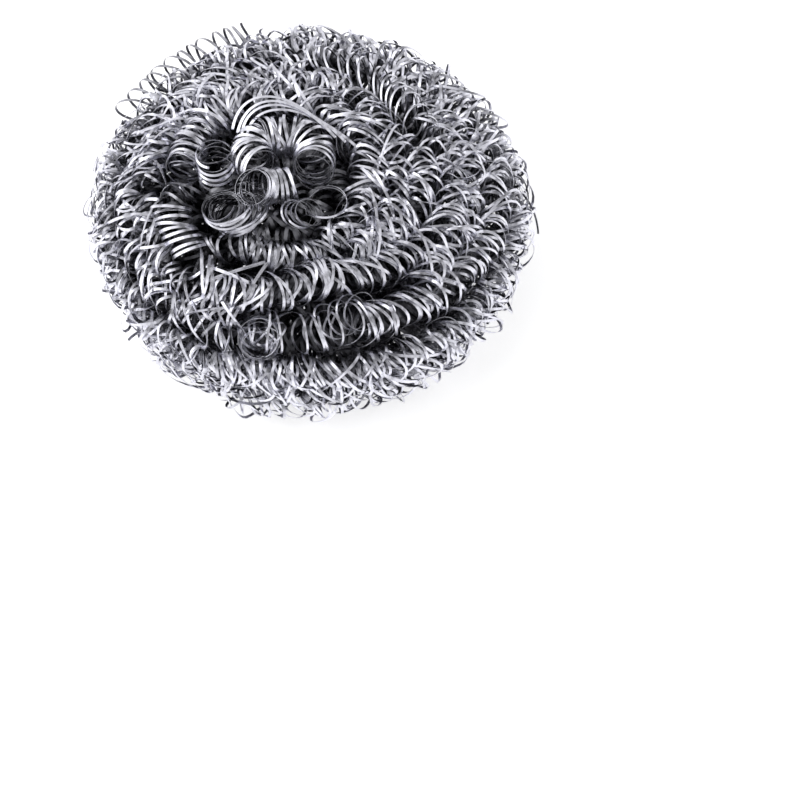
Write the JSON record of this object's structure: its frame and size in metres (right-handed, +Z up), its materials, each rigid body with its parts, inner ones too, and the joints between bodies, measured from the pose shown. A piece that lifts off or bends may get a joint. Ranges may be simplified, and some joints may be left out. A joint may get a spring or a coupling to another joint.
{
  "type": "pot scrubber",
  "caption": "Round pot scrubber of curled flat steel ribbon, wound as a flattened ball with a rosette of open curls, for scouring pans by hand.",
  "frame": {"origin": "middle of the underside, on the surface the scrubber rests on", "axes": "+Z up towards the rosette, -Y towards the viewer of the picture, +X to the viewer's right"},
  "size_m": [0.0856, 0.0847, 0.0405],
  "materials": {
    "bright_ribbon": "bright rolled ribbon",
    "inner_ribbon": "bright rolled ribbon, shaded"
  },
  "bodies": {
    "root": {"shoulder_strand": "bright_ribbon", "upper_side_strand": "bright_ribbon", "upper_rim_strand": "bright_ribbon", "rim_strand": "bright_ribbon", "lower_rim_strand": "bright_ribbon", "base_strand": "bright_ribbon", "crown_curl_left": "bright_ribbon", "crown_curl_right": "bright_ribbon", "centre_curl": "bright_ribbon", "standing_curl": "bright_ribbon", "front_curl": "bright_ribbon", "left_side_curl": "bright_ribbon", "front_end_curl": "bright_ribbon", "loose_rosette_loops": "bright_ribbon", "loose_front_loops": "bright_ribbon", "heart_core": "inner_ribbon"}
  },
  "joints": []
}
